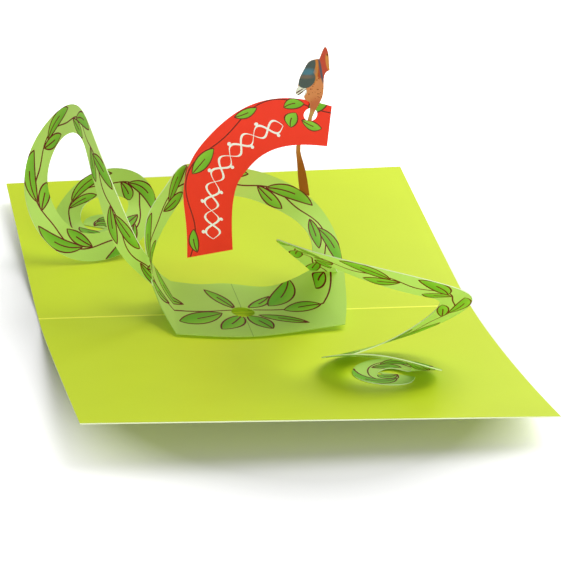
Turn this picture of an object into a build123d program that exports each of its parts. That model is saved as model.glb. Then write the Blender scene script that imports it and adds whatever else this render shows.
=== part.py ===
from build123d import *
import math
import os

# Driving sizes in millimetres. X runs along the gutter and Y away from the reader. Heights
# count from the upper face at the gutter, and the finished pieces are lifted by the sheet
# so that the origin lies on the underside.
card_width = 178.0
page_depth = 127.0
card_sheet = 0.5
swirl_sheet = 0.4
print_sheet = 0.4
spine_flat = 7.5
score_width = 0.8
score_depth = 0.15
swirl_size = 100.0
banner_size = 100.0
bird_size = 100.0
glue_gap = 0.05
root_overlap = 0.4
pad_height_share = 0.003

# How far each outer corner of the open card lifts, and how late along the page it does so
corner_lifts = {
    "back": ((7.9, 1.1), (12.0, 1.1)),
    "front": ((16.8, 1.15), (11.8, 1.6)),
}
profile_shares = (0.25, 0.5, 0.75, 1.0)

# The left arm of the swirl, from its glued pad outward to the band. Each station gives the
# outer and the inner edge as shares of the swirl size: x, y and height above the page.
left_arm_shares = [
    ((-0.420, 0.870, 0.003), (-0.508, 0.826, 0.003)),
    ((-0.435, 0.740, 0.003), (-0.512, 0.795, 0.003)),
    ((-0.575, 0.670, 0.003), (-0.546, 0.774, 0.003)),
    ((-0.715, 0.755, 0.005), (-0.602, 0.800, 0.010)),
    ((-0.705, 0.935, 0.035), (-0.610, 0.865, 0.055)),
    ((-0.560, 0.995, 0.155), (-0.535, 0.895, 0.100)),
    ((-0.375, 0.880, 0.210), (-0.445, 0.835, 0.125)),
    ((-0.320, 0.665, 0.140), (-0.435, 0.700, 0.140)),
    ((-0.485, 0.510, 0.025), (-0.525, 0.580, 0.105)),
    ((-0.730, 0.480, 0.040), (-0.670, 0.540, 0.120)),
    ((-0.870, 0.555, 0.200), (-0.760, 0.600, 0.200)),
    ((-0.860, 0.680, 0.405), (-0.785, 0.640, 0.340)),
    ((-0.755, 0.660, 0.590), (-0.745, 0.580, 0.505)),
    ((-0.690, 0.445, 0.710), (-0.690, 0.430, 0.595)),
    ((-0.655, 0.190, 0.675), (-0.670, 0.235, 0.560)),
    ((-0.580, 0.000, 0.500), (-0.635, 0.080, 0.425)),
    ((-0.510, -0.050, 0.345), (-0.565, 0.010, 0.265)),
    ((-0.455, 0.010, 0.250), (-0.435, 0.005, 0.130)),
]

# The right arm winds the same way but has settled lower
right_arm_shares = [
    ((0.375, -0.875, 0.003), (0.364, -0.790, 0.003)),
    ((0.250, -0.825, 0.003), (0.335, -0.776, 0.003)),
    ((0.250, -0.665, 0.006), (0.325, -0.730, 0.005)),
    ((0.405, -0.600, 0.014), (0.380, -0.696, 0.010)),
    ((0.555, -0.730, 0.021), (0.440, -0.770, 0.022)),
    ((0.500, -0.910, 0.080), (0.415, -0.825, 0.075)),
    ((0.275, -0.930, 0.145), (0.305, -0.825, 0.100)),
    ((0.110, -0.760, 0.085), (0.225, -0.735, 0.080)),
    ((0.215, -0.535, 0.012), (0.295, -0.610, 0.055)),
    ((0.460, -0.470, 0.050), (0.435, -0.570, 0.100)),
    ((0.650, -0.565, 0.175), (0.545, -0.610, 0.200)),
    ((0.670, -0.745, 0.315), (0.550, -0.720, 0.295)),
    ((0.515, -0.890, 0.420), (0.445, -0.825, 0.355)),
    ((0.245, -0.885, 0.490), (0.260, -0.810, 0.405)),
    ((0.030, -0.695, 0.505), (0.115, -0.650, 0.435)),
    ((-0.025, -0.405, 0.460), (0.085, -0.430, 0.415)),
    ((0.070, -0.150, 0.330), (0.170, -0.215, 0.330)),
    ((0.165, 0.000, 0.215), (0.270, -0.050, 0.240)),
    ((0.226, 0.088, 0.140), (0.340, 0.085, 0.130)),
]

# The hoop, from the band's left end over the top to its right end
hoop_shares = [
    ((-0.435, 0.000, 0.130), (-0.425, 0.105, 0.185)),
    ((-0.465, 0.045, 0.300), (-0.410, 0.130, 0.245)),
    ((-0.435, 0.120, 0.410), (-0.365, 0.165, 0.325)),
    ((-0.370, 0.185, 0.475), (-0.320, 0.215, 0.370)),
    ((-0.275, 0.315, 0.520), (-0.240, 0.300, 0.405)),
    ((-0.150, 0.410, 0.480), (-0.135, 0.350, 0.375)),
    ((0.010, 0.425, 0.455), (-0.015, 0.365, 0.355)),
    ((0.165, 0.390, 0.410), (0.100, 0.340, 0.320)),
    ((0.295, 0.320, 0.330), (0.195, 0.270, 0.285)),
    ((0.360, 0.215, 0.225), (0.245, 0.175, 0.230)),
    ((0.370, 0.085, 0.120), (0.226, 0.088, 0.140)),
]

# The band across the gutter, from its left end to its right end: its front edge with the
# two cut corners, and its back edge that faces the hoop
left_flank_shares = [
    ((-0.435, 0.000, 0.130), (-0.425, 0.105, 0.185)),
    ((-0.413, -0.080, 0.075), (-0.395, 0.110, 0.140)),
    ((-0.373, -0.241, 0.025), (-0.340, 0.125, 0.090)),
]
middle_shares = [
    ((-0.373, -0.241, 0.025), (-0.340, 0.125, 0.090)),
    ((-0.235, -0.276, 0.027), (-0.205, 0.175, 0.050)),
    ((-0.100, -0.290, 0.026), (-0.100, 0.210, 0.035)),
    ((0.120, -0.255, 0.026), (0.065, 0.155, 0.040)),
    ((0.313, -0.215, 0.030), (0.175, 0.115, 0.095)),
]
right_flank_shares = [
    ((0.313, -0.215, 0.030), (0.175, 0.115, 0.095)),
    ((0.345, -0.090, 0.055), (0.205, 0.100, 0.120)),
    ((0.370, 0.085, 0.120), (0.226, 0.088, 0.140)),
]
hole_shares = (-0.074, -0.063)
hole_diameter = 9.6
hole_cut = 30.0

# The arched banner is glued to the hoop and stands in one upright plane in front of it. The
# first two are shares of the swirl size: where the banner is glued, and how far back it stands.
# The rest are shares of the banner size: x and z.
glue_place_shares = (-0.258, 0.480)
banner_plane_share = 0.258
banner_plane = banner_plane_share * swirl_size
banner_outer_shares = [
    (-0.253, 0.136), (-0.265, 0.298), (-0.279, 0.397), (-0.276, 0.480), (-0.251, 0.567),
    (-0.165, 0.688), (-0.065, 0.773), (0.010, 0.807), (0.105, 0.823), (0.200, 0.815), (0.314, 0.785),
]
banner_inner_shares = [
    (0.305, 0.612), (0.174, 0.620), (0.086, 0.603), (0.022, 0.566), (-0.015, 0.526),
    (-0.051, 0.474), (-0.071, 0.400), (-0.075, 0.322), (-0.065, 0.167),
]
hole_centre_shares = (0.228, 0.750)
leg_hole_diameter = 5.6

# The folded flap between the banner's edge and the hoop. Shares of the banner size: x, how
# far behind the banner, and z.
flap_shares = [
    ((-0.258, 0.001, 0.540), (-0.257, 0.063, 0.510)),
    ((-0.269, 0.001, 0.500), (-0.267, 0.040, 0.490)),
    ((-0.274, 0.001, 0.460), (-0.271, 0.021, 0.460)),
    ((-0.276, 0.001, 0.410), (-0.273, 0.007, 0.415)),
]

# The perched bird is one flat figure that leans and passes through the banner's round hole.
# Shares of the bird size: along the banner and up the figure from where it passes the hole,
# a little below the hole's middle.
bird_lean = 17.5
bird_drop = 0.8
bird_setback = 0.12
bird_outline_shares = [
    [(-0.008, 0.000), (-0.006, 0.030), (-0.012, 0.075)],
    [(-0.012, 0.075), (-0.038, 0.098), (-0.036, 0.118), (-0.034, 0.138)],
    [(-0.034, 0.138), (-0.047, 0.124), (-0.061, 0.110), (-0.070, 0.113), (-0.069, 0.150)],
    [(-0.069, 0.150), (-0.068, 0.190), (-0.051, 0.248), (-0.039, 0.275), (-0.024, 0.285), (0.002, 0.289)],
    [(0.002, 0.289), (0.006, 0.309), (0.019, 0.348), (0.036, 0.313), (0.043, 0.274), (0.051, 0.234)],
    [(0.051, 0.234), (0.040, 0.227), (0.033, 0.182), (0.034, 0.084), (0.021, 0.047), (0.008, 0.000)],
    [(0.008, 0.000), (0.000, -0.070), (-0.024, -0.146), (-0.006, -0.224), (0.018, -0.301), (0.044, -0.410)],
    [(0.044, -0.410), (0.010, -0.430)],
    [(0.010, -0.430), (-0.018, -0.300), (-0.031, -0.223), (-0.041, -0.146), (-0.020, -0.070), (-0.008, 0.000)],
]


def page_height(x, y):
    """Height of the open card's upper face at a place on either page."""
    depth = abs(y) - spine_flat
    if depth <= 0:
        return 0.0
    share = depth / (page_depth - spine_flat)
    right_share = x / card_width + 0.5
    left_lift, right_lift = corner_lifts["back" if y > 0 else "front"]
    left = left_lift[0] * share ** left_lift[1]
    right = right_lift[0] * share ** right_lift[1]
    return left * (1 - right_share) + right * right_share


def page_profile(x, drop):
    """Cross-section of both bowed pages at one end of the card."""
    def side(sign):
        places = [sign * spine_flat]
        for share in profile_shares:
            places.append(sign * (spine_flat + (page_depth - spine_flat) * share))
        return [Vector(x, y, page_height(x, y) - drop) for y in places]
    return side(-1), side(1)


def profile_wire(x):
    """Closed outline of the folded sheet at one end of the card."""
    front_top, back_top = page_profile(x, 0)
    front_low, back_low = page_profile(x, card_sheet)
    edges = [
        Spline(*reversed(front_top)),
        Line(front_top[0], back_top[0]),
        Spline(*back_top),
        Line(back_top[-1], back_low[-1]),
        Spline(*reversed(back_low)),
        Line(back_low[0], front_low[0]),
        Spline(*front_low),
        Line(front_low[-1], front_top[-1]),
    ]
    return Wire([edge.edge() for edge in edges])


def base_card():
    """The outer card, one sheet folded at the gutter and lying open."""
    ends = [profile_wire(-card_width / 2), profile_wire(card_width / 2)]
    sheet = Solid.make_loft(ends, True)
    half = score_width / 2
    score = Polyline((-card_width, -half, 0), (-card_width, half, 0), (-card_width, 0, -score_depth), close=True)
    groove = extrude(make_face(score), amount=2 * card_width, dir=(1, 0, 0))
    return sheet - groove


def station(shares, above_page):
    """The outer and inner edge points of one ruling of the swirl."""
    points = []
    for x_share, y_share, height_share in shares:
        x, y = x_share * swirl_size, y_share * swirl_size
        base = page_height(x, y) if above_page else 0.0
        points.append(Vector(x, y, base + height_share * swirl_size))
    return points


def strip_normals(stations):
    """Unit normals of a ruled strip at its stations."""
    middles = [(outer + inner) / 2 for outer, inner in stations]
    normals = []
    for index, (outer, inner) in enumerate(stations):
        before = middles[max(index - 1, 0)]
        after = middles[min(index + 1, len(middles) - 1)]
        normals.append((after - before).cross(outer - inner).normalized())
    return normals


def strip_marks(stations):
    """How far along the strip each station lies, from 0 to 1, so that both edges keep in step."""
    middles = [(outer + inner) / 2 for outer, inner in stations]
    marks = [0.0]
    for before, after in zip(middles, middles[1:]):
        marks.append(marks[-1] + (after - before).length)
    return [mark / marks[-1] for mark in marks]


def ruled_strip(stations, thickness, lift, end_normals=(None, None)):
    """A thin closed solid ruled between two spline edges."""
    normals = strip_normals(stations)
    normals[0] = end_normals[0] or normals[0]
    normals[-1] = end_normals[1] or normals[-1]
    marks = strip_marks(stations)
    rails = []
    for side in (0, 1):
        for offset in (lift, lift + thickness):
            points = [pair[side] + normal * offset for pair, normal in zip(stations, normals)]
            rails.append(Edge.make_spline(points, parameters=marks))
    outer_low, outer_high, inner_low, inner_high = rails
    faces = [
        Face.make_surface_from_curves(outer_high, inner_high),
        Face.make_surface_from_curves(outer_low, inner_low),
        Face.make_surface_from_curves(outer_low, outer_high),
        Face.make_surface_from_curves(inner_low, inner_high),
    ]
    for end in (0, 1):
        corners = [rail @ end for rail in (outer_low, outer_high, inner_high, inner_low)]
        faces.append(Face(Wire.make_polygon(corners, close=True)))
    return Solid(Shell(faces))


def arm(shares):
    """One spiral arm, from its glued pad to the band."""
    stations = [station(pair, True) for pair in shares]
    outer, inner = stations[-1]
    step = (outer + inner - stations[-2][0] - stations[-2][1]).normalized() * root_overlap
    stations[-1] = [outer + step, inner + step]
    return ruled_strip(stations, swirl_sheet, glue_gap - pad_height_share * swirl_size)


def ring():
    """The hoop and the band, one closed loop of the sheet."""
    panels = []
    for shares in (hoop_shares, right_flank_shares[::-1], middle_shares[::-1], left_flank_shares[::-1]):
        panels.append([station(pair, False) for pair in shares])
    normals = [strip_normals(panel) for panel in panels]
    joints = []
    for index in range(len(panels)):
        following = (index + 1) % len(panels)
        joints.append((normals[index][-1] + normals[following][0]).normalized())
    solids = []
    for index, panel in enumerate(panels):
        ends = (joints[index - 1], joints[index])
        solids.append(ruled_strip(panel, swirl_sheet, -swirl_sheet / 2, ends))
    loop = solids[0].fuse(*solids[1:])
    x, y = (share * swirl_size for share in hole_shares)
    drill = Pos(x, y, 0) * Cylinder(hole_diameter / 2, hole_cut)
    return loop - drill


def pop_up_swirl():
    """The whole die-cut sheet: two spiral arms, the band and the hoop."""
    body = ring()
    for shares in (left_arm_shares, right_arm_shares):
        body = body + arm(shares)
    return body


def on_banner(x_share, z_share):
    """Place on the banner, which keeps to the spot where it is glued."""
    glue_x, glue_z = glue_place_shares
    x = glue_x * swirl_size + (x_share - glue_x) * banner_size
    z = glue_z * swirl_size + (z_share - glue_z) * banner_size
    return x, z


def banner_plate():
    """The flat arched plate, standing upright."""
    upright = Plane(origin=(0, banner_plane, 0), x_dir=(1, 0, 0), z_dir=(0, -1, 0))
    outer = [on_banner(*shares) for shares in banner_outer_shares]
    inner = [on_banner(*shares) for shares in banner_inner_shares]
    edges = [Spline(*outer), Line(outer[-1], inner[0]), Spline(*inner), Line(inner[-1], outer[0])]
    face = upright * Face(Wire([edge.edge() for edge in edges]))
    return extrude(face, amount=print_sheet / 2, both=True)


def banner():
    """The arched card with its glued flap and the round hole that holds the bird."""
    stations = []
    for pair in flap_shares:
        points = []
        for x_share, behind_share, z_share in pair:
            x, z = on_banner(x_share, z_share)
            points.append(Vector(x, banner_plane + behind_share * banner_size, z))
        stations.append(points)
    flap = ruled_strip(stations, print_sheet, -print_sheet / 2)
    x, z = on_banner(*hole_centre_shares)
    drill = Pos(x, banner_plane, z) * Rot(90, 0, 0) * Cylinder(leg_hole_diameter / 2, hole_cut)
    return banner_plate() + flap - drill


def bird():
    """The perched bird, one flat figure with its long tail."""
    x, z = on_banner(*hole_centre_shares)
    middle = banner_plane - bird_setback
    lean = math.radians(bird_lean)
    facing = (0, -math.cos(lean), -math.sin(lean))
    leaning = Plane(origin=(x, middle, z - bird_drop), x_dir=(1, 0, 0), z_dir=facing)
    edges = []
    for shares in bird_outline_shares:
        points = [(along * bird_size, up * bird_size) for along, up in shares]
        edges.append(Spline(*points) if len(points) > 2 else Line(*points))
    face = leaning * Face(Wire([edge.edge() for edge in edges]))
    return extrude(face, amount=print_sheet / 2, both=True)


def main():
    """Build every piece and write one file for each."""
    os.makedirs("parts", exist_ok=True)
    pieces = {
        "base_card": base_card(),
        "pop_up_swirl": pop_up_swirl(),
        "banner": banner(),
        "bird": bird(),
    }
    for name, piece in pieces.items():
        export_step(Pos(0, 0, card_sheet) * piece, f"parts/{name}.step")


main()
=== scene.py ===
import logging
import math
from collections.abc import Callable
from dataclasses import dataclass
from enum import Enum
from functools import partial
from typing import Any

import bpy
import numpy as np
from mathutils import Matrix, Vector


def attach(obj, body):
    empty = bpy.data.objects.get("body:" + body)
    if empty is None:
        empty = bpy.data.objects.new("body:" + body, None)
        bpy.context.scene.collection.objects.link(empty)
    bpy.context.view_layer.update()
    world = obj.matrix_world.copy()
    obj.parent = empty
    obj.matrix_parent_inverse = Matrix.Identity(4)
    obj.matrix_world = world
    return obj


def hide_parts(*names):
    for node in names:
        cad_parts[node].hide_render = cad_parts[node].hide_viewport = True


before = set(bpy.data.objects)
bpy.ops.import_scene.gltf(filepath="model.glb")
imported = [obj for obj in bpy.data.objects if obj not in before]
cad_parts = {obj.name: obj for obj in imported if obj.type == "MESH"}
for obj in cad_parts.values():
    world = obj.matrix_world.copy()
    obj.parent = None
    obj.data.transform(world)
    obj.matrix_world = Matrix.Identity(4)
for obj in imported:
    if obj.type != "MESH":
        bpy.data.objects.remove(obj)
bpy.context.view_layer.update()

LOG = logging.getLogger("pop_up_card")

Share = tuple[float, float, float]
Station = tuple[Share, Share]
Socket = bpy.types.NodeSocket
Adder = Callable[..., Socket]
Material = bpy.types.Material
Piece = bpy.types.Object

# Real sizes in metres. Heights count from the upper face at the gutter, as in the CAD source.
MM = 0.001
CARD_WIDTH = 178 * MM
PAGE_DEPTH = 127 * MM
CARD_SHEET = 0.5 * MM
SPINE_FLAT = 7.5 * MM
PAPER_SHEET = 0.4 * MM
SWIRL_SIZE = 100 * MM
GLUE_GAP = 0.05 * MM
ROOT_OVERLAP = 0.4 * MM
WELD_REACH = 0.002 * MM
SHARP_DEGREES = 35.0
PUNCH_SIDES = 48
ROW_DIGITS = 5
# How far each page's left and right corners lift, and how steeply the lift grows towards them.
CORNER_LIFTS = {
    "back": ((7.9 * MM, 1.1), (12.0 * MM, 1.1)),
    "front": ((16.8 * MM, 1.15), (11.8 * MM, 1.6)),
}

# Outer and inner edge points of each strip, as shares of the swirl's size. An arm starts with its glued
# pad, whose stations lie at PAD_SHARE over the page, and its heights count from the page below.
PAD_SHARE = 0.003
LEFT_ARM: list[Station] = [
    ((-0.605, 0.835, 0.003), (-0.515, 0.790, 0.003)),
    ((-0.580, 0.893, 0.003), (-0.515, 0.800, 0.003)),
    ((-0.515, 0.921, 0.003), (-0.513, 0.803, 0.003)),
    ((-0.432, 0.882, 0.003), (-0.508, 0.802, 0.003)),
    ((-0.405, 0.805, 0.003), (-0.508, 0.799, 0.003)),
    ((-0.435, 0.740, 0.003), (-0.512, 0.795, 0.003)),
    ((-0.575, 0.670, 0.003), (-0.546, 0.774, 0.003)),
    ((-0.715, 0.755, 0.005), (-0.602, 0.800, 0.010)),
    ((-0.705, 0.935, 0.035), (-0.610, 0.865, 0.055)),
    ((-0.560, 0.995, 0.155), (-0.535, 0.895, 0.100)),
    ((-0.375, 0.880, 0.210), (-0.445, 0.835, 0.125)),
    ((-0.320, 0.665, 0.140), (-0.435, 0.700, 0.140)),
    ((-0.485, 0.510, 0.025), (-0.525, 0.580, 0.105)),
    ((-0.730, 0.480, 0.040), (-0.670, 0.540, 0.120)),
    ((-0.870, 0.555, 0.200), (-0.760, 0.600, 0.200)),
    ((-0.860, 0.680, 0.405), (-0.785, 0.640, 0.340)),
    ((-0.755, 0.660, 0.590), (-0.745, 0.580, 0.505)),
    ((-0.690, 0.445, 0.710), (-0.690, 0.430, 0.595)),
    ((-0.655, 0.190, 0.675), (-0.670, 0.235, 0.560)),
    ((-0.580, 0.000, 0.500), (-0.635, 0.080, 0.425)),
    ((-0.510, -0.050, 0.345), (-0.565, 0.010, 0.265)),
    ((-0.455, 0.010, 0.250), (-0.435, 0.005, 0.130)),
]
RIGHT_ARM: list[Station] = [
    ((0.458, -0.788, 0.003), (0.335, -0.722, 0.003)),
    ((0.425, -0.850, 0.003), (0.340, -0.737, 0.003)),
    ((0.350, -0.876, 0.003), (0.335, -0.752, 0.003)),
    ((0.262, -0.835, 0.003), (0.326, -0.755, 0.003)),
    ((0.225, -0.750, 0.004), (0.322, -0.740, 0.004)),
    ((0.250, -0.665, 0.006), (0.325, -0.730, 0.005)),
    ((0.405, -0.600, 0.014), (0.380, -0.696, 0.010)),
    ((0.555, -0.730, 0.021), (0.440, -0.770, 0.022)),
    ((0.500, -0.910, 0.080), (0.415, -0.825, 0.075)),
    ((0.275, -0.930, 0.145), (0.305, -0.825, 0.100)),
    ((0.110, -0.760, 0.085), (0.225, -0.735, 0.080)),
    ((0.215, -0.535, 0.012), (0.295, -0.610, 0.055)),
    ((0.460, -0.470, 0.050), (0.435, -0.570, 0.100)),
    ((0.650, -0.565, 0.175), (0.545, -0.610, 0.200)),
    ((0.670, -0.745, 0.315), (0.550, -0.720, 0.295)),
    ((0.515, -0.890, 0.420), (0.445, -0.825, 0.355)),
    ((0.245, -0.885, 0.490), (0.260, -0.810, 0.405)),
    ((0.030, -0.695, 0.505), (0.115, -0.650, 0.435)),
    ((-0.025, -0.405, 0.460), (0.085, -0.430, 0.415)),
    ((0.070, -0.150, 0.330), (0.170, -0.215, 0.330)),
    ((0.165, 0.000, 0.215), (0.270, -0.050, 0.240)),
    ((0.226, 0.088, 0.140), (0.340, 0.085, 0.130)),
]
HOOP: list[Station] = [
    ((-0.435, 0.000, 0.130), (-0.425, 0.105, 0.185)),
    ((-0.465, 0.045, 0.300), (-0.410, 0.130, 0.245)),
    ((-0.435, 0.120, 0.410), (-0.365, 0.165, 0.325)),
    ((-0.370, 0.185, 0.475), (-0.320, 0.215, 0.370)),
    ((-0.275, 0.315, 0.520), (-0.240, 0.300, 0.405)),
    ((-0.150, 0.410, 0.480), (-0.135, 0.350, 0.375)),
    ((0.010, 0.425, 0.455), (-0.015, 0.365, 0.355)),
    ((0.165, 0.390, 0.410), (0.100, 0.340, 0.320)),
    ((0.295, 0.320, 0.330), (0.195, 0.270, 0.285)),
    ((0.360, 0.215, 0.225), (0.245, 0.175, 0.230)),
    ((0.370, 0.085, 0.120), (0.226, 0.088, 0.140)),
]
# The band runs from the hoop's last station back to its first, and folds at the third and seventh.
BAND: list[Station] = [
    HOOP[-1],
    ((0.345, -0.090, 0.055), (0.205, 0.100, 0.120)),
    ((0.313, -0.215, 0.030), (0.175, 0.115, 0.095)),
    ((0.120, -0.255, 0.026), (0.065, 0.155, 0.040)),
    ((-0.100, -0.290, 0.026), (-0.100, 0.210, 0.035)),
    ((-0.235, -0.276, 0.027), (-0.205, 0.175, 0.050)),
    ((-0.373, -0.241, 0.025), (-0.340, 0.125, 0.090)),
    ((-0.413, -0.080, 0.075), (-0.395, 0.110, 0.140)),
    HOOP[0],
]


class SheetSide(Enum):
    """Which of its materials a face of a sheet wears, by its place in the mesh."""

    PRINT = 0
    RIM = 1
    BACK = 2


def to_linear(code: str) -> tuple[float, float, float, float]:
    """Turn an sRGB hex colour into the linear one that Blender mixes.

    Args:
        code: Six hex digits with a leading hash.

    Returns:
        Red, green, blue and an alpha of one.
    """
    parts = [int(code[i:i + 2], 16) / 255 for i in (1, 3, 5)]
    lin = [c / 12.92 if c <= 0.04045 else ((c + 0.055) / 1.055) ** 2.4 for c in parts]
    return lin[0], lin[1], lin[2], 1.0


def add_node(tree: bpy.types.NodeTree, kind: str, inputs: dict[int | str, Any] | None = None,
             out: int | str = 0, **settings: Any) -> Socket | None:
    """Add one shader node with its settings and links.

    Args:
        tree: The material's node tree.
        kind: The node's type without the ShaderNode prefix.
        inputs: A constant or a socket to connect, by input name or number.
        out: Which of its outputs to hand back, by name or number.
        settings: The node's own options.

    Returns:
        That output, or None for the node that ends a tree.
    """
    node = tree.nodes.new("ShaderNode" + kind)
    for name, value in settings.items():
        setattr(node, name, value)
    for key, value in (inputs or {}).items():
        if isinstance(value, Socket):
            tree.links.new(value, node.inputs[key])
        else:
            node.inputs[key].default_value = value
    return node.outputs[out] if node.outputs else None


def new_material(name: str) -> tuple[Material, Adder]:
    """Start a material with an empty node tree, and hand back what adds nodes to it."""
    material = bpy.data.materials.new(name)
    material.use_nodes = True
    material.node_tree.nodes.clear()
    return material, partial(add_node, material.node_tree)


@dataclass(frozen=True)
class PaperGrain:
    """Fibre and faint unevenness of a smooth sheet.

    The two noises added up lie between noise_low and noise_high, which become the darkest and lightest shade.
    """

    fibre_mm: float = 0.35
    fibre_detail: float = 3.0
    cloud_mm: float = 22.0
    cloud_detail: float = 2.0
    noise_low: float = 0.6
    noise_high: float = 1.4
    darkest: float = 0.955
    lightest: float = 1.03
    relief_mm: float = 0.012
    relief_strength: float = 0.35
    roughness: float = 0.55
    ior: float = 1.4
    sheer: float = 0.0

    def finish(self, add: Adder, colour: Socket) -> None:
        """Run a colour through the sheet's grain to the material's output.

        A sheer sheet glows a little with the light behind it. It is a thin closed solid, so the inner side of
        its faces is clear and light is dyed once on its way through.

        Args:
            add: Adds nodes to the material.
            colour: The printed colour.
        """
        place = add("TexCoord", out="Object")
        fibre = add("TexNoise", {"Vector": place, "Scale": 1 / (self.fibre_mm * MM),
                                 "Detail": self.fibre_detail})
        cloud = add("TexNoise", {"Vector": place, "Scale": 1 / (self.cloud_mm * MM),
                                 "Detail": self.cloud_detail})
        both = add("Math", {0: fibre, 1: cloud}, operation="ADD")
        shade = add("MapRange", {"Value": both, "From Min": self.noise_low, "From Max": self.noise_high,
                                 "To Min": self.darkest, "To Max": self.lightest})
        toned = add("VectorMath", {0: colour, "Scale": shade}, operation="SCALE")
        bump = add("Bump", {"Height": fibre, "Strength": self.relief_strength,
                            "Distance": self.relief_mm * MM})
        surface = add("BsdfPrincipled", {"Roughness": self.roughness, "IOR": self.ior, "Base Color": toned,
                                         "Normal": bump})
        if self.sheer > 0:
            through = add("BsdfTranslucent", {"Color": toned})
            sheet = add("MixShader", {0: self.sheer, 1: surface, 2: through})
            inside = add("NewGeometry", out="Backfacing")
            clear = add("BsdfTransparent")
            surface = add("MixShader", {0: inside, 1: sheet, 2: clear})
        add("OutputMaterial", {"Surface": surface})


@dataclass(frozen=True)
class LimeCard:
    """Smooth lime green cover card, offset printed and scored at the gutter."""

    colour: str = "#CDE11E"
    # The line along the gutter is a painted highlight, and the darker band about it is painted shade.
    crease_highlight: str = "#F6FF4C"
    crease_shade: str = "#AEBE12"
    highlight_mm: float = 0.8
    shade_mm: float = 1.6
    shade_share: float = 0.3
    grain: PaperGrain = PaperGrain(cloud_mm=40.0, roughness=0.48, sheer=0.06)

    def make(self) -> Material:
        """Build the material: even lime ink with a soft gloss, a painted highlight line along the fold, and
        painted shade about it.
        """
        material, add = new_material("lime_cover_card")
        place = add("TexCoord", out="Object")
        across = add("SeparateXYZ", {0: place}, "Y")
        off = add("Math", {0: across}, operation="ABSOLUTE")
        # Painted shade darkens the card about the fold, and a painted highlight lights a thin line on it.
        shade = add("MapRange", {"Value": off, "From Min": 0.0, "From Max": self.shade_mm * MM,
                                 "To Min": self.shade_share, "To Max": 0.0})
        line = add("MapRange", {"Value": off, "From Min": self.highlight_mm * MM / 2,
                                "From Max": self.highlight_mm * MM, "To Min": 1.0, "To Max": 0.0})
        dark = add("MixRGB", {"Fac": shade, "Color1": to_linear(self.colour),
                              "Color2": to_linear(self.crease_shade)})
        lit = add("MixRGB", {"Fac": line, "Color1": dark, "Color2": to_linear(self.crease_highlight)})
        self.grain.finish(add, lit)
        return material


@dataclass(frozen=True)
class PlainPaper:
    """Paper with no print on it: a raw cut edge that shows the pale core, or the banner's plain back."""

    name: str
    colour: str
    grain: PaperGrain = PaperGrain(fibre_mm=0.2, roughness=0.8)

    def make(self) -> Material:
        """Build the material: matt fibres in one colour."""
        material, add = new_material(self.name)
        core = add("RGB")
        core.default_value = to_linear(self.colour)
        self.grain.finish(add, core)
        return material


@dataclass(frozen=True)
class LeafRow:
    """One row of leaves along a vine. Sizes in millimetres, the tilt in degrees."""

    start: float
    side: float
    tilt: float
    length: float
    half_width: float


@dataclass(frozen=True)
class Leaf:
    """One leaf of a sprig: its middle, its length and half width in millimetres, and its tilt."""

    along: float
    across: float
    length: float
    half_width: float
    tilt: float


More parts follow.
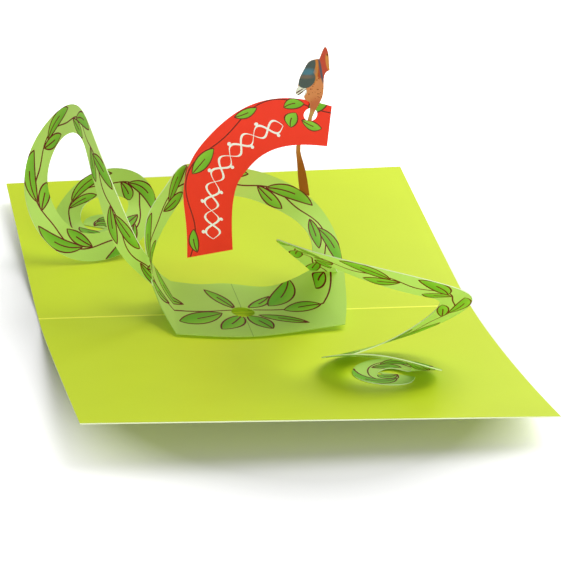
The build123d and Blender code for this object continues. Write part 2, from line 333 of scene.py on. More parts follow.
@dataclass(frozen=True)
class VinePrint:
    """Green leaves with a dark outline and a midrib, in rows or one by one, on a wavy stem.

    The period, the ink line, the stem and the bend of a leaf's tip are in millimetres, and turn_spread, by
    which the leaves of a row differ, in degrees. A tone of one is the light green. The rib's middle and reach
    are shares of half the leaf, and its width is a share of the ink line.
    """

    rows: tuple[LeafRow, ...] = ()
    sprig: tuple[Leaf, ...] = ()
    period: float = 27.0
    ink: float = 0.6
    stem_swing: float = 1.2
    stem_side: float = 0.0
    bend: float = 0.8
    turn_spread: float = 14.0
    row_tone: tuple[float, float] = (0.1, 0.45)
    sprig_tone: tuple[float, float] = (0.35, 0.25)
    tone_across: float = 0.16
    fullness: float = 0.8
    rib_width: float = 0.45
    rib_middle: float = -0.35
    rib_reach: float = 0.55
    ink_colour: str = "#6C1509"
    leaf_light: str = "#98D43C"
    leaf_dark: str = "#70B81E"

    def paint(self, add: Adder, ground: str) -> tuple[Socket, Socket, Socket]:
        """Print the vine over a plain ground, along the piece's own strip map.

        Args:
            add: Adds nodes to the material.
            ground: The hex colour of the bare sheet.

        Returns:
            The printed colour, and the millimetres along the strip and across it from its middle.
        """
        uv = add("UVMap", uv_map="strip")
        along = add("SeparateXYZ", {0: uv}, "X")
        across = along.node.outputs["Y"]
        bare = add("RGB")
        bare.default_value = to_linear(ground)
        turn = add("Math", {0: along, 1: 2 * math.pi / self.period}, operation="MULTIPLY")
        wave = add("Math", {0: turn}, operation="SINE")
        stem = add("Math", {0: wave, 1: self.stem_swing, 2: self.stem_side}, operation="MULTIPLY_ADD")
        near = add("Math", {0: across, 1: stem, 2: self.ink / 2}, operation="COMPARE")
        colour = add("MixRGB", {"Fac": near, "Color1": bare, "Color2": to_linear(self.ink_colour)})
        for row in self.rows:
            colour = self.leaf_row(add, colour, along, across, row)
        flat = add("CombineXYZ", {0: along, 1: across})
        base, swing = self.sprig_tone
        for leaf in self.sprig:
            place = add("VectorMath", {0: flat, 1: (leaf.along, leaf.across, 0.0)}, operation="SUBTRACT")
            turned = add("VectorRotate", {"Vector": place, "Angle": math.radians(-leaf.tilt)},
                         rotation_type="Z_AXIS")
            tone = add("Value")
            tone.default_value = math.sin(leaf.along + leaf.across) * swing + base
            bow = self.bend if leaf.tilt > 0 else -self.bend
            colour = self.draw(add, colour, turned, tone, leaf.length, leaf.half_width, bow)
        return colour, along, across

    def leaf_row(self, add: Adder, ground: Socket, along: Socket, across: Socket, row: LeafRow) -> Socket:
        """Print one row of leaves, each a little different.

        Args:
            add: Adds nodes to the material.
            ground: The colour so far.
            along: Millimetres along the strip.
            across: Millimetres across it.
            row: Where the row runs.

        Returns:
            The colour with the row on it.
        """
        cells = add("Math", {0: along, 1: 1 / self.period, 2: row.start / self.period},
                    operation="MULTIPLY_ADD")
        number = add("Math", {0: cells}, operation="FLOOR")
        luck = add("TexWhiteNoise", {"W": number}, "Value", noise_dimensions="1D")
        inside = add("Math", {0: cells}, operation="FRACT")
        place = add("Math", {0: inside, 1: self.period, 2: -self.period / 2}, operation="MULTIPLY_ADD")
        beside = add("Math", {0: across, 1: row.side}, operation="SUBTRACT")
        flat = add("CombineXYZ", {0: place, 1: beside})
        least = -math.radians(row.tilt + self.turn_spread / 2)
        angle = add("Math", {0: luck, 1: math.radians(self.turn_spread), 2: least}, operation="MULTIPLY_ADD")
        turned = add("VectorRotate", {"Vector": flat, "Angle": angle}, rotation_type="Z_AXIS")
        base, spread = self.row_tone
        tone = add("Math", {0: luck, 1: spread, 2: base}, operation="MULTIPLY_ADD")
        bow = self.bend if row.side >= 0 else -self.bend
        return self.draw(add, ground, turned, tone, row.length, row.half_width, bow)

    def draw(self, add: Adder, ground: Socket, place: Socket, tone: Socket, length: float, half_width: float,
             bow: float) -> Socket:
        """Draw one leaf: an ink outline, a green blade that is paler on one side, and a midrib.

        Args:
            add: Adds nodes to the material.
            ground: The colour so far.
            place: Millimetres from the leaf's middle, along and across it.
            tone: How light the green is.
            length: The leaf's length.
            half_width: Half its width.
            bow: How far its tip bends aside.

        Returns:
            The colour with the leaf on it.
        """
        own = add("SeparateXYZ", {0: place}).node.outputs
        reach = add("Math", {0: own["X"], 1: 2 / length}, operation="MULTIPLY")
        square = add("Math", {0: reach, 1: reach}, operation="MULTIPLY")
        level = add("Math", {0: square, 1: bow, 2: -bow / 2}, operation="MULTIPLY_ADD")
        height = add("Math", {0: own["Y"], 1: level}, operation="ADD")
        off = add("Math", {0: height}, operation="ABSOLUTE")
        round_in = add("Math", {0: 1.0, 1: square}, operation="SUBTRACT", use_clamp=True)
        full = add("Math", {0: round_in, 1: self.fullness}, operation="POWER")
        half = add("Math", {0: full, 1: half_width}, operation="MULTIPLY")
        gap = add("Math", {0: half, 1: off}, operation="SUBTRACT")
        outline = add("Math", {0: gap, 1: 0.0}, operation="GREATER_THAN")
        blade = add("Math", {0: gap, 1: self.ink}, operation="GREATER_THAN")
        thin = add("Math", {0: off, 1: self.ink * self.rib_width}, operation="LESS_THAN")
        short = add("Math", {0: reach, 1: self.rib_middle, 2: self.rib_reach}, operation="COMPARE")
        rib = add("Math", {0: thin, 1: short}, operation="MULTIPLY")
        side = add("Math", {0: height, 1: self.tone_across, 2: tone}, operation="MULTIPLY_ADD",
                   use_clamp=True)
        green = add("MixRGB", {"Fac": side, "Color1": to_linear(self.leaf_dark),
                               "Color2": to_linear(self.leaf_light)})
        ink = to_linear(self.ink_colour)
        inked = add("MixRGB", {"Fac": outline, "Color1": ground, "Color2": ink})
        leafy = add("MixRGB", {"Fac": blade, "Color1": inked, "Color2": green})
        marked = add("Math", {0: rib, 1: blade}, operation="MULTIPLY")
        return add("MixRGB", {"Fac": marked, "Color1": leafy, "Color2": ink})


@dataclass(frozen=True)
class LeafyPaper:
    """Coated, slightly see-through paper, printed pale green with a leafy vine along it.

    Where score_at is given, a fine score crosses the sheet at that X, and its shade is painted as a darker
    line.
    """

    name: str
    ground: str
    vine: VinePrint
    grain: PaperGrain = PaperGrain(sheer=0.3)
    score_at: float | None = None
    score_mm: float = 0.3
    score_shade: str = "#8DB04E"

    def make(self) -> Material:
        """Build the material: pale ground, green leaves and brown outlines that follow the strip."""
        material, add = new_material(self.name)
        colour = self.vine.paint(add, self.ground)[0]
        # Painted shade: a darker line along the score.
        if self.score_at is not None:
            place = add("TexCoord", out="Object")
            side = add("SeparateXYZ", {0: place}, "X")
            near = add("Math", {0: side, 1: self.score_at, 2: self.score_mm * MM / 2}, operation="COMPARE")
            colour = add("MixRGB", {"Fac": near, "Color1": colour, "Color2": to_linear(self.score_shade)})
        self.grain.finish(add, colour)
        return material


@dataclass(frozen=True)
class BannerPaper:
    """Coated paper printed signal red, with a vine and a plain white scroll.

    The scroll is two mirrored waves, side_mm off the middle, with a dot beyond each crest. Its stroke swells
    and thins as from a pen, and it runs from first_mm to last_mm.
    """

    ground: str = "#FF331A"
    scroll: str = "#FFFFFF"
    wave_mm: float = 13.0
    swing_mm: float = 2.9
    stroke_mm: float = 0.45
    stroke_change: float = 0.5
    side_mm: float = -1.5
    first_mm: float = 6.5
    last_mm: float = 71.5
    dot_mm: float = 0.75
    dot_out: float = 1.35
    grain: PaperGrain = PaperGrain(roughness=0.5)
    vine: VinePrint = VinePrint(sprig=(
        Leaf(6.0, 6.2, 9.5, 2.1, 8.0), Leaf(37.5, 7.0, 12.6, 3.0, -13.0), Leaf(60.5, 8.9, 8.5, 2.2, -6.0),
        Leaf(75.8, 0.9, 7.5, 2.8, 62.0), Leaf(77.5, 7.6, 8.0, 2.5, 12.0), Leaf(83.8, -0.8, 9.0, 2.3, -16.0),
        Leaf(86.2, 7.4, 9.0, 2.6, 38.0),
    ), period=40.0, ink=0.5, stem_swing=-2.4, stem_side=8.2)

    def make(self) -> Material:
        """Build the material: red ink with a vine at its outer side and a running white scroll."""
        material, add = new_material("red_printed_paper")
        colour, along, across = self.vine.paint(add, self.ground)
        inked = self.scroll_mask(add, along, across)
        white = add("MixRGB", {"Fac": inked, "Color1": colour, "Color2": to_linear(self.scroll)})
        self.grain.finish(add, white)
        return material

    def scroll_mask(self, add: Adder, along: Socket, across: Socket) -> Socket:
        """Draw the scroll.

        Args:
            add: Adds nodes to the material.
            along: Millimetres along the strip.
            across: Millimetres across it.

        Returns:
            One where the scroll is, and zero elsewhere.
        """
        turn = add("Math", {0: along, 1: 2 * math.pi / self.wave_mm}, operation="MULTIPLY")
        wave = add("Math", {0: turn}, operation="SINE")
        slope = add("Math", {0: turn}, operation="COSINE")
        pen = add("Math", {0: slope, 1: self.stroke_mm * self.stroke_change, 2: self.stroke_mm},
                  operation="MULTIPLY_ADD")
        masks = []
        for share in (1.0, -1.0):
            path = add("Math", {0: wave, 1: self.swing_mm * share, 2: self.side_mm}, operation="MULTIPLY_ADD")
            masks.append(add("Math", {0: across, 1: path, 2: pen}, operation="COMPARE"))
        for level in (1.0, -1.0):
            cell = add("Math", {0: along, 1: 1 / self.wave_mm, 2: level / 4}, operation="MULTIPLY_ADD")
            part = add("Math", {0: cell}, operation="FRACT")
            left = add("Math", {0: part, 1: self.wave_mm, 2: -self.wave_mm / 2}, operation="MULTIPLY_ADD")
            up = add("Math", {0: across, 1: self.side_mm - level * self.swing_mm * self.dot_out},
                     operation="SUBTRACT")
            spot = add("CombineXYZ", {0: left, 1: up})
            far = add("VectorMath", {0: spot}, "Value", operation="LENGTH")
            masks.append(add("Math", {0: far, 1: self.dot_mm}, operation="LESS_THAN"))
        drawn = masks[0]
        for mask in masks[1:]:
            drawn = add("Math", {0: drawn, 1: mask}, operation="MAXIMUM")
        middle, half = (self.first_mm + self.last_mm) / 2, (self.last_mm - self.first_mm) / 2
        shown = add("Math", {0: along, 1: middle, 2: half}, operation="COMPARE")
        return add("Math", {0: drawn, 1: shown}, operation="MULTIPLY")


@dataclass(frozen=True)
class BirdPatch:
    """One soft oval of the bird's plumage, in millimetres on the figure."""

    colour: str
    x: float
    y: float
    wide: float
    high: float
    lean: float
    blur: float = 0.05


@dataclass(frozen=True)
class BirdPaper:
    """Coated paper printed with a plain garden bird in orange, red and slate."""

    belly: str = "#DD8A5C"
    back: str = "#9C4426"
    patches: tuple[BirdPatch, ...] = (
        BirdPatch("#CB6C48", 1.6, 5.5, 3.4, 4.0, 0.0, 0.4),
        BirdPatch("#C9955A", 0.0, 0.5, 1.6, 3.0, 0.0, 0.3),
        BirdPatch("#C47E3E", -2.0, -12.0, 6.0, 11.0, 10.0, 0.3),
        BirdPatch("#A85A16", 2.0, -33.0, 9.0, 14.0, 10.0, 0.3),
        BirdPatch("#B5482E", 0.6, 25.4, 1.3, 6.4, 8.0, 0.1),
        BirdPatch("#CF8040", -0.9, 23.2, 1.3, 6.2, 3.0, 0.15),
        BirdPatch("#C84A3C", 2.3, 27.4, 2.1, 9.6, 7.0, 0.06),
        BirdPatch("#DB8E4A", 4.0, 27.2, 1.0, 4.4, 15.0, 0.15),
        BirdPatch("#5B2A1C", 3.1, 31.0, 0.3, 0.6, 15.0, 0.2),
        BirdPatch("#5C5568", 1.4, 23.4, 0.5, 6.4, 14.6, 0.2),
        BirdPatch("#F4F0EC", -6.0, 12.8, 3.0, 2.9, -40.0, 0.04),
        BirdPatch("#6A3F3B", -6.3, 13.0, 0.32, 2.2, -50.0, 0.15),
        BirdPatch("#6A3F3B", -5.2, 12.4, 0.32, 2.6, -48.0, 0.15),
        BirdPatch("#4E585E", -3.7, 24.4, 2.6, 5.4, -8.0, 0.04),
        BirdPatch("#4E585E", -3.9, 18.9, 3.6, 4.4, -6.0, 0.04),
        BirdPatch("#4F7C98", -3.8, 22.6, 2.8, 1.7, 0.0, 0.4),
        BirdPatch("#786662", -4.0, 20.2, 2.8, 0.9, 0.0, 0.5),
    )
    spot_mm: float = 1.25
    spot_scatter: float = 0.9
    spot_share: float = 0.24
    grain: PaperGrain = PaperGrain(fibre_mm=0.3, roughness=0.5)

    def make(self) -> Material:
        """Build the material: speckled belly, dark wing with a blue bar, red head and brown tail."""
        material, add = new_material("printed_bird_paper")
        uv = add("UVMap", uv_map="strip")
        speck = add("TexVoronoi", {"Vector": uv, "Scale": 1 / self.spot_mm, "Randomness": self.spot_scatter},
                    "Distance")
        dot = add("Math", {0: speck, 1: self.spot_share}, operation="LESS_THAN")
        colour = add("MixRGB", {"Fac": dot, "Color1": to_linear(self.belly), "Color2": to_linear(self.back)})
        for patch in self.patches:
            away = add("VectorMath", {0: uv, 1: (patch.x, patch.y, 0.0)}, operation="SUBTRACT")
            turned = add("VectorRotate", {"Vector": away, "Angle": math.radians(-patch.lean)},
                         rotation_type="Z_AXIS")
            sized = add("VectorMath", {0: turned, 1: (1 / patch.wide, 1 / patch.high, 0.0)},
                        operation="MULTIPLY")
            far = add("VectorMath", {0: sized}, "Value", operation="LENGTH")
            mask = add("MapRange", {"Value": far, "From Min": 1 + patch.blur, "From Max": 1 - patch.blur,
                                    "To Min": 0.0, "To Max": 1.0})
            colour = add("MixRGB", {"Fac": mask, "Color1": colour, "Color2": to_linear(patch.colour)})
        self.grain.finish(add, colour)
        return material


def page_height(x: float, y: float) -> float:
    """Height of the open card's upper face over the gutter.

    Args:
        x: Place along the gutter, in metres.
        y: Place across it, in metres.

    Returns:
        The height in metres.
    """
    depth = abs(y) - SPINE_FLAT
    if depth <= 0:
        return 0.0
    share = depth / (PAGE_DEPTH - SPINE_FLAT)
    right_share = x / CARD_WIDTH + 0.5
    (left_rise, left_bow), (right_rise, right_bow) = CORNER_LIFTS["back" if y > 0 else "front"]
    left, right = left_rise * share ** left_bow, right_rise * share ** right_bow
    return left * (1 - right_share) + right * right_share


def smooth_through(points: np.ndarray, marks: np.ndarray, wanted: np.ndarray) -> np.ndarray:
    """Read a natural cubic curve that passes through points.

    Args:
        points: One row for each point.
        marks: How far along the curve each point lies.
        wanted: The places to read.

    Returns:
        One row for each wanted place.
    """
    count = len(points)
    step = np.diff(marks)
    left = np.eye(count)
    right = np.zeros((count, points.shape[1]))
    for i in range(1, count - 1):
        left[i, i - 1:i + 2] = step[i - 1], 2 * (step[i - 1] + step[i]), step[i]
        ahead, behind = (points[i + 1] - points[i]) / step[i], (points[i] - points[i - 1]) / step[i - 1]
        right[i] = 6 * (ahead - behind)
    bend = np.linalg.solve(left, right)
    span = np.clip(np.searchsorted(marks, wanted, side="right") - 1, 0, count - 2)
    size = step[span][:, None]
    after = (wanted - marks[span])[:, None]
    before = size - after
    return (bend[span] * before ** 3 + bend[span + 1] * after ** 3) / (6 * size) \
        + (points[span] / size - bend[span] * size / 6) * before \
        + (points[span + 1] / size - bend[span + 1] * size / 6) * after


def run_lengths(points: np.ndarray) -> np.ndarray:
    """How far along a run of points each one lies, in metres."""
    return np.concatenate([[0.0], np.cumsum(np.linalg.norm(np.diff(points, axis=0), axis=1))])


def even_points(points: np.ndarray, spans: int) -> np.ndarray:
    """Split the smooth curve through these points into even spans."""
    marks = run_lengths(points)
    return smooth_through(points, marks, np.linspace(0, marks[-1], spans + 1))


def new_object(name: str, data: bpy.types.ID) -> Piece:
    """Put a mesh, a lamp or a camera into the scene."""
    obj = bpy.data.objects.new(name, data)
    bpy.context.scene.collection.objects.link(obj)
    return obj


def settle(obj: Piece, node: str) -> None:
    """Attach a finished piece to the card and log it.

    Args:
        obj: The piece, with its place in its mesh.
        node: The CAD node that the piece stands for.
    """
    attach(obj, "root")
    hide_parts(node)
    LOG.info("%s: %d faces", obj.name, len(obj.data.polygons))


def rail_points(stations: list[Station], above_page: bool) -> tuple[np.ndarray, np.ndarray]:
    """Turn station shares into places on the two edges of a strip.

    Args:
        stations: Outer and inner edge points as shares of the swirl size.
        above_page: True where heights count from the page below.

    Returns:
        The outer edge points and the inner ones, in metres.
    """
    rails = []
    for side in (0, 1):
        rail = []
        for station in stations:
            x, y, z = (share * SWIRL_SIZE for share in station[side])
            rail.append((x, y, z + (page_height(x, y) if above_page else 0.0)))
        rails.append(np.array(rail))
    return rails[0], rails[1]


def strip_normals(outer: np.ndarray, inner: np.ndarray) -> np.ndarray:
    """Unit normals of a ruled strip at its stations."""
    middles = (outer + inner) / 2
    last = len(middles) - 1
    rows = []
    for i in range(len(middles)):
        way = middles[min(i + 1, last)] - middles[max(i - 1, 0)]
        normal = np.cross(way, outer[i] - inner[i])
        rows.append(normal / np.linalg.norm(normal))
    return np.array(rows)


@dataclass
class StripSheet:
    """A thin closed sheet ruled between two smooth edges."""

    name: str
    outer: np.ndarray
    inner: np.ndarray
    normals: np.ndarray
    lift: float = -PAPER_SHEET / 2
    first_mm: float = 0.0
    per_span: int = 9
    across: int = 6
    capped: bool = True

    def marks(self) -> np.ndarray:
        """How far along the strip each station lies, in metres."""
        return run_lengths((self.outer + self.inner) / 2)

    def build(self) -> Piece:
        """Make the sheet as a mesh with its own strip map in millimetres.

        Returns:
            The new object, not yet dressed.
        """
        marks = self.marks()
        wanted = np.linspace(0, marks[-1], (len(marks) - 1) * self.per_span + 1)
        rows, columns = len(wanted), self.across + 1
        verts: list[tuple[float, ...]] = []
        flat: list[tuple[float, float]] = []
        for offset in (self.lift, self.lift + PAPER_SHEET):
            out = smooth_through(self.outer + self.normals * offset, marks, wanted)
            inn = smooth_through(self.inner + self.normals * offset, marks, wanted)
            for i in range(rows):
                width = float(np.linalg.norm(out[i] - inn[i])) / MM
                for j in range(columns):
                    share = j / self.across
                    point = inn[i] * (1 - share) + out[i] * share
                    verts.append((point[0], point[1], point[2] + CARD_SHEET))
                    flat.append((self.first_mm + wanted[i] / MM, (share - 0.5) * width))
        high = rows * columns
        faces: list[tuple[int, ...]] = []
        rims: list[int] = []
        for i in range(rows - 1):
            for j in range(self.across):
                a, b = i * columns + j, (i + 1) * columns + j
                faces.append((high + a, high + a + 1, high + b + 1, high + b))
                faces.append((a, b, b + 1, a + 1))
            for j, turn in ((0, 1), (self.across, -1)):
                a, b = i * columns + j, (i + 1) * columns + j
                rims.append(len(faces))
                faces.append((a, high + a, high + b, b)[::turn])
        if self.capped:
            for i, turn in ((0, -1), (rows - 1, 1)):
                for j in range(self.across):
                    a = i * columns + j
                    rims.append(len(faces))
                    faces.append((a, high + a, high + a + 1, a + 1)[::turn])
        mesh = bpy.data.meshes.new(self.name)
        mesh.from_pydata(verts, [], faces)
        layer = mesh.uv_layers.new(name="strip")
        for loop in mesh.loops:
            layer.data[loop.index].uv = flat[loop.vertex_index]
        for number in rims:
            mesh.polygons[number].material_index = SheetSide.RIM.value
        return new_object(self.name, mesh)


def select_only(*objects: Piece) -> None:
    """Select these objects alone and make the first one active."""
    bpy.ops.object.select_all(action="DESELECT")
    for obj in objects:
        obj.select_set(True)
    bpy.context.view_layer.objects.active = objects[0]


def tidy_mesh(obj: Piece) -> None:
    """Merge doubles, turn faces outward and smooth all but sharp edges."""
    select_only(obj)
    bpy.ops.object.mode_set(mode="EDIT")
    bpy.ops.mesh.select_all(action="SELECT")
    bpy.ops.mesh.remove_doubles(threshold=WELD_REACH)
    bpy.ops.mesh.normals_make_consistent(inside=False)
    bpy.ops.object.mode_set(mode="OBJECT")
    bpy.ops.object.shade_smooth_by_angle(angle=math.radians(SHARP_DEGREES))


def dress(obj: Piece, *materials: Material) -> None:
    """Give a piece its materials in order, keeping which face has which."""
    numbers = [face.material_index for face in obj.data.polygons]
    obj.data.materials.clear()
    for material in materials:
        obj.data.materials.append(material)
    obj.data.polygons.foreach_set("material_index", numbers)


def drill(obj: Piece, place: Vector, radius: float, depth: float, turn: float) -> None:
    """Punch a round hole through a piece.

    Args:
        obj: The piece.
        place: The hole's middle.
        radius: Its radius.
        depth: How deep the punch reaches.
        turn: Degrees that the punch is turned about X.
    """
    bpy.ops.mesh.primitive_cylinder_add(vertices=PUNCH_SIDES, radius=radius, depth=depth, location=place,
                                        rotation=(math.radians(turn), 0, 0))
    punch = bpy.context.active_object
    select_only(obj)
    cut = obj.modifiers.new("punch", "BOOLEAN")
    cut.operation = "DIFFERENCE"
    cut.solver = "EXACT"
    cut.object = punch
    bpy.ops.object.modifier_apply(modifier=cut.name)
    bpy.data.objects.remove(punch)


@dataclass
class OuterCard:
    """The folded card that lies open, with bowed pages."""

    width_steps: int = 24
    page_steps: int = 22
    edge_slope: float = 0.5
    score_width: float = 0.8 * MM
    score_depth: float = 0.04 * MM

    def build(self) -> None:
        """Model and dress both pages as one sheet scored along the gutter."""
        half = self.score_width / 2
        step = (PAGE_DEPTH - SPINE_FLAT) / self.page_steps
        right = [0.0, half, SPINE_FLAT] + [SPINE_FLAT + step * (i + 1) for i in range(self.page_steps)]
        bpy.ops.mesh.primitive_grid_add(x_subdivisions=self.width_steps, y_subdivisions=2 * len(right) - 2,
                                        size=1, calc_uvs=False)
        card = bpy.context.active_object
        card.name = "outer_card"
        levels = sorted({round(v.co.y, ROW_DIGITS) for v in card.data.vertices})
        places = dict(zip(levels, [-y for y in reversed(right[1:])] + right))
        for vertex in card.data.vertices:
            x = vertex.co.x * CARD_WIDTH
            y = places[round(vertex.co.y, ROW_DIGITS)]
            dip = self.score_depth if y == 0.0 else 0.0
            vertex.co = (x, y, page_height(x, y) + CARD_SHEET - dip)
        bpy.ops.object.mode_set(mode="EDIT")
        bpy.ops.mesh.select_all(action="SELECT")
        bpy.ops.mesh.extrude_region_move(TRANSFORM_OT_translate={"value": (0, 0, -CARD_SHEET)})
        bpy.ops.object.mode_set(mode="OBJECT")
        # The underside stays flat below the score.
        for vertex in card.data.vertices:
            if abs(vertex.co.y) < half / 2 and vertex.co.z < half / 2:
                vertex.co.z = 0.0
        tidy_mesh(card)
        for face in card.data.polygons:
            side = SheetSide.RIM if abs(face.normal.z) < self.edge_slope else SheetSide.PRINT
            face.material_index = side.value
        dress(card, LimeCard().make(), PlainPaper("cut_cover_card", "#EEF6CE").make())
        settle(card, "base_card")


@dataclass
class Swirl:
    """The one die-cut sheet: two volutes, the band over the gutter and the hoop."""

    hole_x: float = -0.074 * SWIRL_SIZE
    hole_y: float = -0.063 * SWIRL_SIZE
    hole_diameter: float = 9.6 * MM
    punch_depth: float = 30 * MM
    hoop_columns: int = 6
    band_columns: int = 16

    def strip_print(self) -> VinePrint:
        """The vine of the narrow strips."""
        return VinePrint(rows=(LeafRow(0.0, 2.7, 15.0, 19.5, 3.0), LeafRow(6.0, -2.7, -15.0, 15.5, 2.6)))

    def band_print(self) -> VinePrint:
        """The larger sprig of the wide band, which opens out from the round hole."""
        return VinePrint(sprig=(
            Leaf(56.5, -9.5, 21.0, 3.0, -57.0), Leaf(39.5, -6.5, 16.0, 2.8, 42.0),
            Leaf(28.0, -11.0, 24.0, 5.2, 44.0), Leaf(24.5, 1.6, 15.0, 4.0, -3.0),
            Leaf(34.5, 9.5, 19.0, 2.8, -28.0), Leaf(43.5, 12.0, 14.5, 3.9, -60.0),
            Leaf(54.0, 12.0, 15.5, 4.3, 52.0), Leaf(66.0, 7.0, 19.5, 5.0, 20.0),
            Leaf(82.0, -5.5, 20.0, 3.4, -14.0), Leaf(87.0, 2.5, 15.0, 2.6, 10.0),
            Leaf(6.5, -3.5, 13.0, 3.4, -16.0),
        ), period=60.0, ink=0.8, stem_swing=0.9, stem_side=1.4)

    def arm(self, name: str, stations: list[Station]) -> Piece:
        """Model one volute, from its glued pad to the band.

        Args:
            name: The piece's name.
            stations: The rulings from the pad outward.

        Returns:
            The undressed strip.
        """
        outer, inner = rail_points(stations, True)
        step = outer[-1] + inner[-1] - outer[-2] - inner[-2]
        step *= ROOT_OVERLAP / np.linalg.norm(step)
        outer[-1] += step
        inner[-1] += step
        lift = GLUE_GAP - PAD_SHARE * SWIRL_SIZE
        strip = StripSheet(name, outer, inner, strip_normals(outer, inner), lift=lift)
        obj = strip.build()
        tidy_mesh(obj)
        return obj

    def ring(self) -> tuple[Piece, Piece]:
        """Model the hoop and the band, whose sheets run into each other.

        Returns:
            The hoop and the band, undressed.
        """
        panels = [HOOP, BAND[:3], BAND[2:7], BAND[6:]]
        rails = [rail_points(panel, False) for panel in panels]
        normals = [strip_normals(*pair) for pair in rails]
        for i in range(len(panels)):
            shared = normals[i - 1][-1] + normals[i][0]
            normals[i - 1][-1] = normals[i][0] = shared / np.linalg.norm(shared)
        made = []
        start = 0.0
        for i, name in enumerate(("hoop", "band_right", "band_middle", "band_left")):
            columns = self.hoop_columns if i == 0 else self.band_columns
            sheet = StripSheet(name, *rails[i], normals[i], first_mm=start, across=columns, capped=False)
            if i > 0:
                start += float(sheet.marks()[-1]) / MM
            made.append(sheet.build())
        band = made[2]
        select_only(band, made[1], made[3])
        bpy.ops.object.join()
        band.name = "band"
        tidy_mesh(band)
        tidy_mesh(made[0])
        return made[0], band

    def build(self) -> None:
        """Model and dress the whole swirl."""
        strip_paper = LeafyPaper("vine_strip_paper", "#BFE66C", self.strip_print()).make()
        band_paper = LeafyPaper("vine_band_paper", "#BCDE6A", self.band_print(), PaperGrain(sheer=0.45),
                                self.hole_x).make()
        edge = PlainPaper("cut_swirl_paper", "#DDF0B4").make()
        hoop, band = self.ring()
        drill(band, Vector((self.hole_x, self.hole_y, 0)), self.hole_diameter / 2, self.punch_depth, 0)
        arms = [self.arm("volute_left", LEFT_ARM), self.arm("volute_right", RIGHT_ARM)]
        dress(band, band_paper, edge)
        for obj in (hoop, *arms):
            dress(obj, strip_paper, edge)
        for obj in (hoop, band, *arms):
            settle(obj, "pop_up_swirl")


@dataclass
class Banner:
    """The arched red card with its glued flap and its round hole."""

    plane: float = 25.8 * MM
    size: float = 100 * MM
    hole_x: float = 0.228
    hole_z: float = 0.750
    hole_diameter: float = 5.6 * MM
    punch_depth: float = 10 * MM
    back_turned: float = 0.5
    outer: tuple[tuple[float, float], ...] = (
        (-0.253, 0.136), (-0.265, 0.298), (-0.279, 0.397), (-0.276, 0.480), (-0.251, 0.567),
        (-0.165, 0.688), (-0.065, 0.773), (0.010, 0.807), (0.105, 0.823), (0.200, 0.815), (0.314, 0.785),
    )
    inner: tuple[tuple[float, float], ...] = (
        (-0.065, 0.167), (-0.075, 0.322), (-0.071, 0.400), (-0.051, 0.474), (-0.015, 0.526),
        (0.022, 0.566), (0.086, 0.603), (0.174, 0.620), (0.305, 0.612),
    )
    flap: tuple[Station, ...] = (
        ((-0.258, 0.259, 0.540), (-0.257, 0.321, 0.510)),
        ((-0.269, 0.259, 0.500), (-0.267, 0.298, 0.490)),
        ((-0.274, 0.259, 0.460), (-0.271, 0.279, 0.460)),
        ((-0.276, 0.259, 0.410), (-0.273, 0.265, 0.415)),
    )
    rulings: int = 12

    def edge(self, shares: tuple[tuple[float, float], ...]) -> np.ndarray:
        """Even points along one side of the arch.

        Args:
            shares: Points on that side as shares of the banner size.

        Returns:
            One row for each ruling, in metres.
        """
        points = np.array([(x * self.size, self.plane, z * self.size) for x, z in shares])
        return even_points(points, self.rulings)

    def build(self) -> None:
        """Model and dress the banner and its flap."""
        outer, inner = self.edge(self.outer), self.edge(self.inner)
        flat = np.tile(np.array([[0.0, 1.0, 0.0]]), (len(outer), 1))
        plate = StripSheet("banner_plate", outer, inner, flat).build()
        tidy_mesh(plate)
        place = Vector((self.hole_x * self.size, self.plane, self.hole_z * self.size + CARD_SHEET))
        drill(plate, place, self.hole_diameter / 2, self.punch_depth, 90)
        fold, far = (np.array([row[side] for row in self.flap]) * self.size for side in (0, 1))
        leaning = strip_normals(fold, far)
        flap = StripSheet("banner_flap", fold, far, leaning).build()
        tidy_mesh(flap)
        for face in plate.data.polygons:
            if face.normal.y > self.back_turned:
                face.material_index = SheetSide.BACK.value
        paper = BannerPaper().make()
        edge = PlainPaper("cut_banner_paper", "#FFD9D0").make()
        back = PlainPaper("plain_red_paper", BannerPaper.ground).make()
        for obj in (plate, flap):
            dress(obj, paper, edge, back)
            settle(obj, "banner")


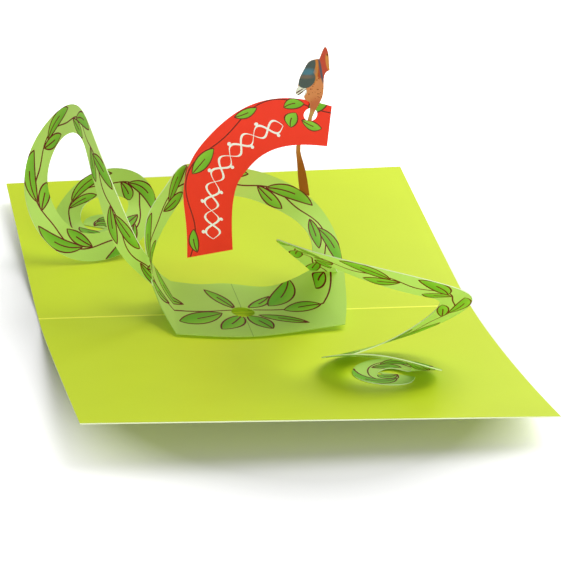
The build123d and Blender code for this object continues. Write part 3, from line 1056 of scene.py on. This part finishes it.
@dataclass
class Bird:
    """The flat perched bird with its long tail."""

    lean: float = 17.5
    size: float = 100 * MM
    pivot: tuple[float, float, float] = (0.228, 0.2568, 0.742)
    outline: tuple[tuple[tuple[float, float], ...], ...] = (
        ((-0.006, 0.030), (-0.012, 0.075)),
        ((-0.038, 0.098), (-0.036, 0.118), (-0.034, 0.138)),
        ((-0.047, 0.124), (-0.061, 0.110), (-0.070, 0.113), (-0.069, 0.150)),
        ((-0.068, 0.190), (-0.051, 0.248), (-0.039, 0.275), (-0.024, 0.285), (0.002, 0.289)),
        ((0.006, 0.309), (0.019, 0.348), (0.036, 0.313), (0.043, 0.274), (0.051, 0.234)),
        ((0.040, 0.227), (0.033, 0.182), (0.034, 0.084), (0.021, 0.047), (0.008, 0.000)),
        ((0.000, -0.070), (-0.024, -0.146), (-0.006, -0.224), (0.018, -0.301), (0.044, -0.410)),
        ((0.010, -0.430),),
        ((-0.018, -0.300), (-0.031, -0.223), (-0.041, -0.146), (-0.020, -0.070), (-0.008, 0.0)),
    )
    per_curve: int = 14

    def figure(self) -> np.ndarray:
        """The outline as points in metres. Each of its curves starts where the one before ends."""
        rows = []
        for i, shares in enumerate(self.outline):
            points = np.array([self.outline[i - 1][-1], *shares]) * self.size
            rows.append(even_points(points, self.per_curve)[:-1])
        return np.concatenate(rows)

    def build(self) -> None:
        """Model and dress the bird."""
        lean = math.radians(self.lean)
        flat = self.figure()
        base = np.array(self.pivot) * self.size + np.array([0.0, 0.0, CARD_SHEET])
        right = np.array([1.0, 0.0, 0.0])
        up = np.array([0.0, -math.sin(lean), math.cos(lean)])
        facing = np.array([0.0, -math.cos(lean), -math.sin(lean)])
        places = base + flat[:, :1] * right + flat[:, 1:] * up
        mesh = bpy.data.meshes.new("perched_bird")
        mesh.from_pydata([tuple(p) for p in places], [], [tuple(range(len(places)))])
        layer = mesh.uv_layers.new(name="strip")
        for loop in mesh.loops:
            layer.data[loop.index].uv = flat[loop.vertex_index] / MM
        bird = new_object("perched_bird", mesh)
        if mesh.polygons[0].normal.dot(Vector(facing)) < 0:
            mesh.flip_normals()
        select_only(bird)
        thick = bird.modifiers.new("sheet", "SOLIDIFY")
        thick.thickness = PAPER_SHEET
        thick.offset = 0.0
        thick.material_offset_rim = SheetSide.RIM.value
        dress(bird, BirdPaper().make(), PlainPaper("cut_bird_paper", "#E9D9C8").make())
        bpy.ops.object.modifier_apply(modifier=thick.name)
        settle(bird, "bird")


@dataclass(frozen=True)
class SoftLamp:
    """One square lamp: where it hangs and how wide it is, in metres, and its power in watts."""

    name: str
    place: Share
    size: float
    power: float


@dataclass
class Studio:
    """Pale floor, soft lamps and the camera at the photograph's angle.

    The eye is in millimetres and the camera's turns in degrees. On the floor, glow lifts the board to plain
    white for the camera alone, from clear_from to clear_to, as measured on an oval about the card.
    """

    eye: Share = (-206.758, -974.713, 444.507)
    yaw: float = -12.572
    pitch: float = 23.442
    roll: float = 3.342
    focal_widths: float = 4.7265
    sensor: float = 36.0
    near_clip: float = 0.01
    far_clip: float = 50.0
    floor_size: float = 12.0
    floor_drop: float = 0.01 * MM
    board: float = 0.85
    glow: float = 0.8
    oval: Share = (1.62, 1.0, 0.0)
    clear_from: float = 146 * MM
    clear_to: float = 220 * MM
    room_light: float = 0.34
    aim: Share = (0.0, 0.0, 0.02)
    lamps: tuple[SoftLamp, ...] = (
        SoftLamp("key_lamp", (0.5, 0.3, 0.66), 1.0, 9.6),
        SoftLamp("fill_lamp", (0.0, -1.3, 0.2), 0.8, 9.6),
    )

    def camera(self) -> None:
        """Place the camera."""
        yaw, pitch, roll = (math.radians(v) for v in (self.yaw, self.pitch, self.roll))
        ahead = Vector((-math.sin(yaw) * math.cos(pitch), math.cos(yaw) * math.cos(pitch), -math.sin(pitch)))
        right = Vector((math.cos(yaw), math.sin(yaw), 0))
        up = right.cross(ahead)
        side = right * math.cos(roll) + up * math.sin(roll)
        top = up * math.cos(roll) - right * math.sin(roll)
        data = bpy.data.cameras.new("photo_camera")
        data.sensor_width = self.sensor
        data.lens = self.focal_widths * self.sensor
        data.clip_start, data.clip_end = self.near_clip, self.far_clip
        obj = new_object("photo_camera", data)
        turn = Matrix((side, top, -ahead)).transposed()
        place = Vector(self.eye) * MM + Vector((0, 0, CARD_SHEET))
        obj.matrix_world = Matrix.Translation(place) @ turn.to_4x4()
        bpy.context.scene.camera = obj

    def hang(self, lamp: SoftLamp) -> None:
        """Add one lamp, aimed at the card."""
        data = bpy.data.lights.new(lamp.name, "AREA")
        data.size = lamp.size
        data.energy = lamp.power
        obj = new_object(lamp.name, data)
        obj.location = lamp.place
        way = Vector(self.aim) - Vector(lamp.place)
        obj.rotation_euler = way.to_track_quat("-Z", "Y").to_euler()

    def floor(self) -> None:
        """Lay the white floor, which keeps the card's shadow and clears to plain white away from it."""
        bpy.ops.mesh.primitive_plane_add(size=self.floor_size, location=(0, 0, -self.floor_drop))
        plane = bpy.context.active_object
        plane.name = "studio_floor"
        material, add = new_material("matt_white_board")
        body = add("BsdfDiffuse", {"Color": (self.board, self.board, self.board, 1)})
        place = add("TexCoord", out="Object")
        oval = add("VectorMath", {0: place, 1: self.oval}, operation="MULTIPLY")
        far = add("VectorMath", {0: oval}, "Value", operation="LENGTH")
        lift = add("MapRange", {"Value": far, "From Min": self.clear_from, "From Max": self.clear_to,
                                "To Min": 0.0, "To Max": self.glow})
        glow = add("Emission", {"Color": (1, 1, 1, 1), "Strength": lift})
        bright = add("AddShader", {0: body, 1: glow})
        seen = add("LightPath", out="Is Camera Ray")
        mix = add("MixShader", {0: seen, 1: body, 2: bright})
        add("OutputMaterial", {"Surface": mix})
        plane.data.materials.append(material)

    def world(self) -> None:
        """Light the room evenly, and show the camera plain white."""
        world = bpy.data.worlds.new("studio_room")
        bpy.context.scene.world = world
        world.use_nodes = True
        world.node_tree.nodes.clear()
        add = partial(add_node, world.node_tree)
        seen = add("LightPath", out="Is Camera Ray")
        power = add("MapRange", {"Value": seen, "To Min": self.room_light, "To Max": 1.0})
        room = add("Background", {"Color": (1, 1, 1, 1), "Strength": power})
        add("OutputWorld", {"Surface": room})

    def build(self) -> None:
        """Set up the whole studio."""
        self.camera()
        self.floor()
        self.world()
        for lamp in self.lamps:
            self.hang(lamp)
        bpy.context.scene.view_settings.view_transform = "Standard"


def main() -> None:
    """Build every piece in order, then the studio."""
    logging.basicConfig(level=logging.INFO, format="%(message)s")
    OuterCard().build()
    Swirl().build()
    Banner().build()
    Bird().build()
    Studio().build()


if __name__ == "__main__":
    main()
